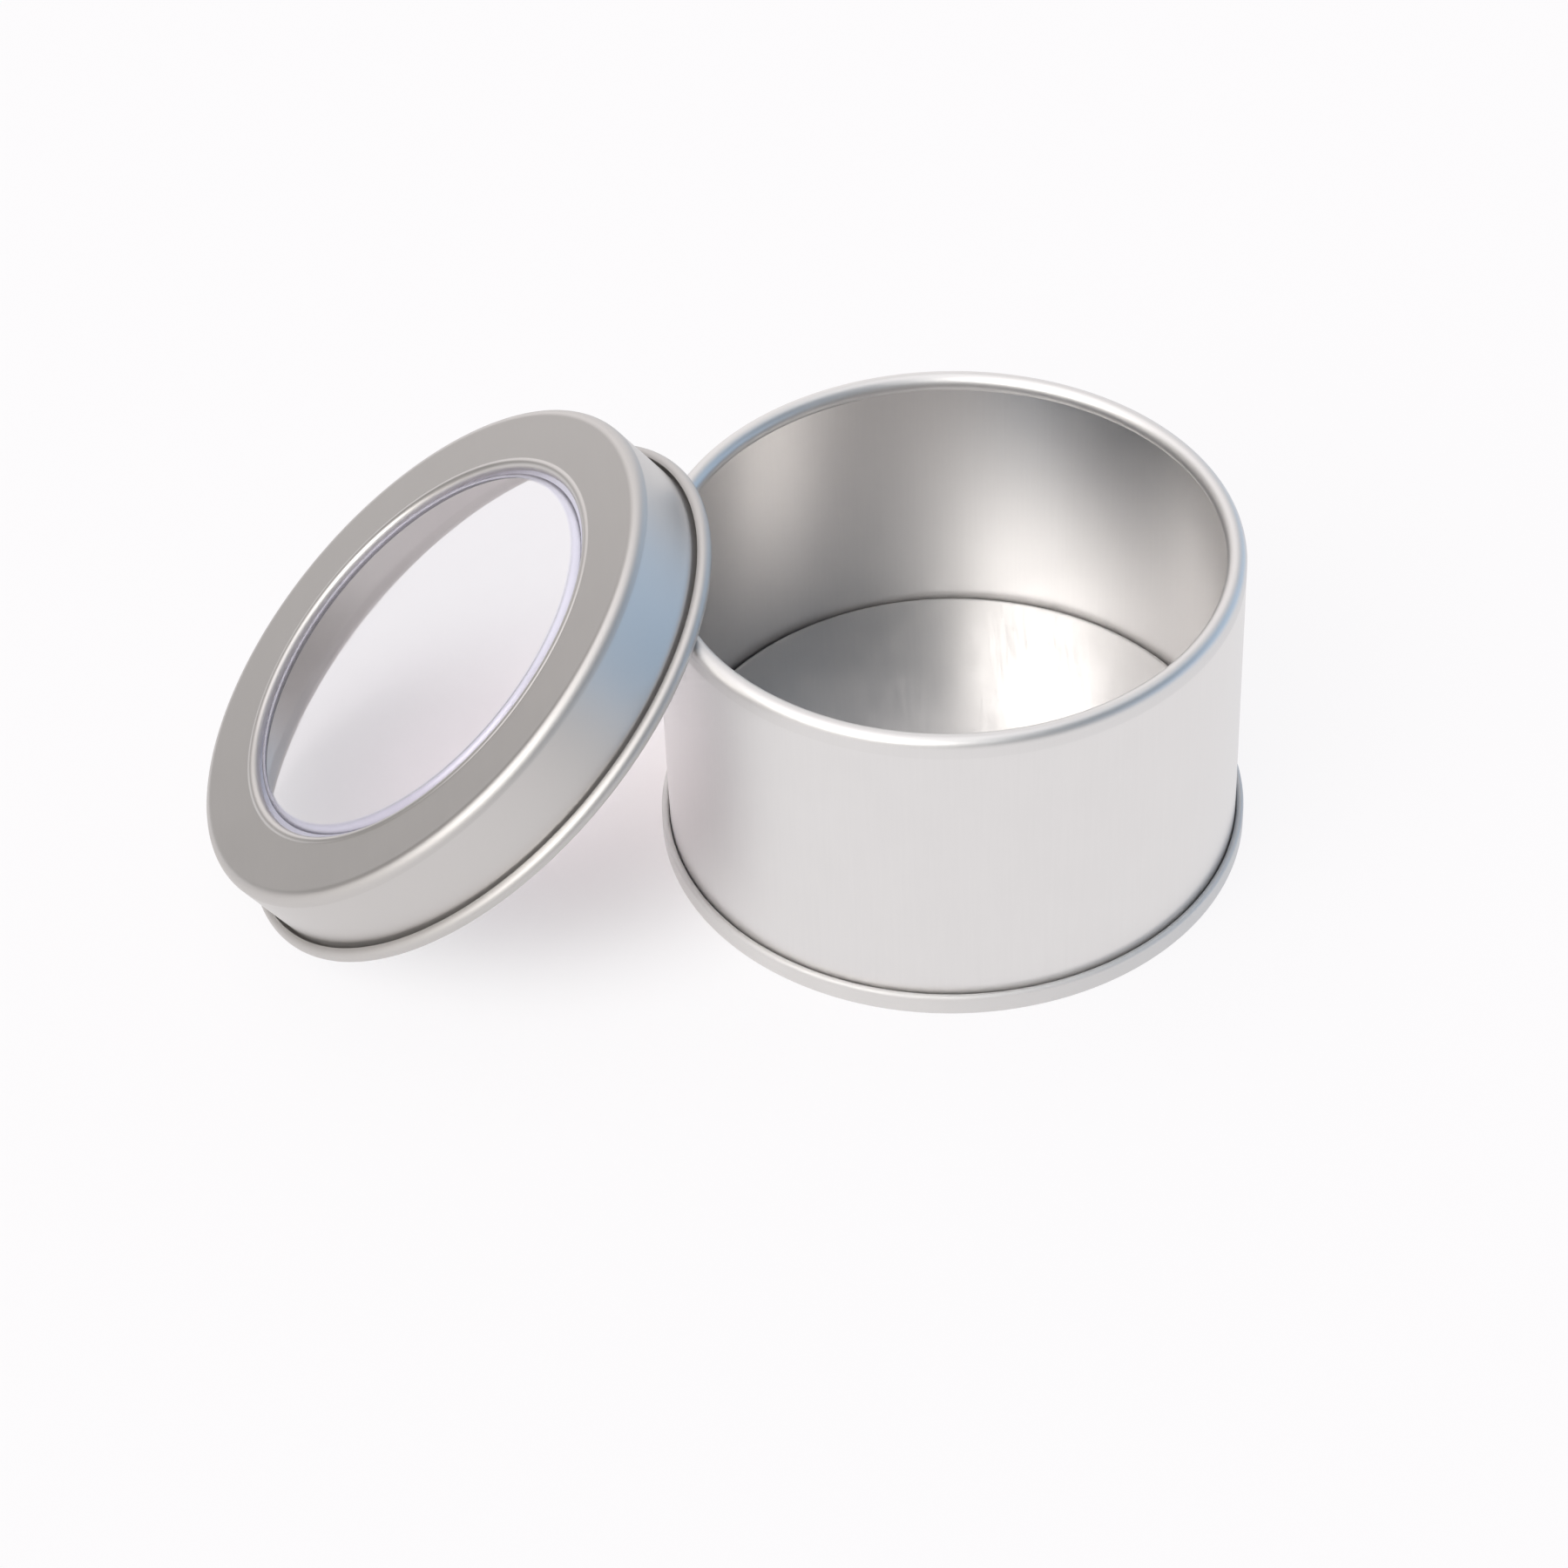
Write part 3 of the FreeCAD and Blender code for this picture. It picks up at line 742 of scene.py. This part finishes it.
class WINDOWTIN_OT_base(bpy.types.Operator):
    """Turn the end plate with its raised floor and rolled seam"""
    bl_idname = "window_tin.base"
    bl_label = "Seamed Base"

    def execute(self, context):
        settings = context.scene.window_tin
        curls = [(0, settings.tin.seam_height)]
        plate = tinplate("tinplate_pressed_base", settings.finishes.tin_coat, matt=0.52, uneven=0.03,
                         grain=(1, 20, 1), curls=curls)
        base = turn_piece("seamed_base", base_outline(settings), False, plate)
        dress(base, "tin", "base_plate")
        return {"FINISHED"}


class WINDOWTIN_OT_lid(bpy.types.Operator):
    """Turn the lid's metal ring and lean it on the tin"""
    bl_idname = "window_tin.lid"
    bl_label = "Pressed Lid"

    def execute(self, context):
        settings = context.scene.window_tin
        place, turn = lid_place(settings), lid_turn(settings)
        lid = settings.lid
        bead = (0, 2 * lid.bead_radius)
        corner = (lid.height - lid.corner, lid.height - lid.sheet)
        # The lid's coat is set darker than the tin's as painted shade.
        plate = tinplate("tinplate_pressed_lid_painted_shade", settings.finishes.lid_coat_painted_shade, matt=0.36, uneven=0.01,
                         grain=(1, 20, 1), curls=[bead, corner], place=place, turn=turn)
        ring = turn_piece("pressed_lid", lid_outline(settings), True, plate, place, turn)
        dress(ring, "lid", "lid_ring")
        return {"FINISHED"}


class WINDOWTIN_OT_window(bpy.types.Operator):
    """Turn the clear window and set it in the lid"""
    bl_idname = "window_tin.window"
    bl_label = "Clear Window"

    def execute(self, context):
        settings = context.scene.window_tin
        place, turn = lid_place(settings), lid_turn(settings)
        clear = formed_clear_sheet(settings, place, turn)
        window = turn_piece("clear_window", window_outline(settings), False, clear, place, turn)
        dress(window, "lid", "lid_window")
        return {"FINISHED"}


class WINDOWTIN_OT_stage(bpy.types.Operator):
    """Set the camera, the floor and the room with its soft boxes"""
    bl_idname = "window_tin.stage"
    bl_label = "Studio"

    def execute(self, context):
        studio = context.scene.window_tin.studio
        context.scene.view_settings.view_transform = "Standard"
        studio_world(studio)
        pale_floor(studio)
        photo_camera(studio)
        return {"FINISHED"}


class WINDOWTIN_PT_panel(bpy.types.Panel):
    """Lists the operators in the order that they run"""
    bl_idname = "WINDOWTIN_PT_panel"
    bl_label = "Window Lid Tin"
    bl_space_type = "VIEW_3D"
    bl_region_type = "UI"
    bl_category = "Window Tin"

    def draw(self, context):
        for operator in OPERATORS:
            self.layout.operator(operator.bl_idname)
        settings = context.scene.window_tin
        for group in (settings.tin, settings.lid, settings.window, settings.finishes, settings.studio):
            box = self.layout.box()
            for name in group.bl_rna.properties.keys():
                if name not in ("rna_type", "name"):
                    box.prop(group, name)


OPERATORS = (WINDOWTIN_OT_wall, WINDOWTIN_OT_base, WINDOWTIN_OT_lid, WINDOWTIN_OT_window, WINDOWTIN_OT_stage)
CLASSES = (TinSizes, LidSizes, WindowSizes, Finishes, Studio, WindowTin, *OPERATORS, WINDOWTIN_PT_panel)


def register():
    """Register the classes, and hang the settings on the scene."""
    for cls in CLASSES:
        bpy.utils.register_class(cls)
    bpy.types.Scene.window_tin = PointerProperty(type=WindowTin)


def unregister():
    """Take the settings off the scene, and the classes out again."""
    del bpy.types.Scene.window_tin
    for cls in reversed(CLASSES):
        bpy.utils.unregister_class(cls)


def main():
    """Build every piece and the studio."""
    register()
    bpy.ops.window_tin.wall()
    bpy.ops.window_tin.base()
    bpy.ops.window_tin.lid()
    bpy.ops.window_tin.window()
    bpy.ops.window_tin.stage()


if __name__ == "__main__":
    main()
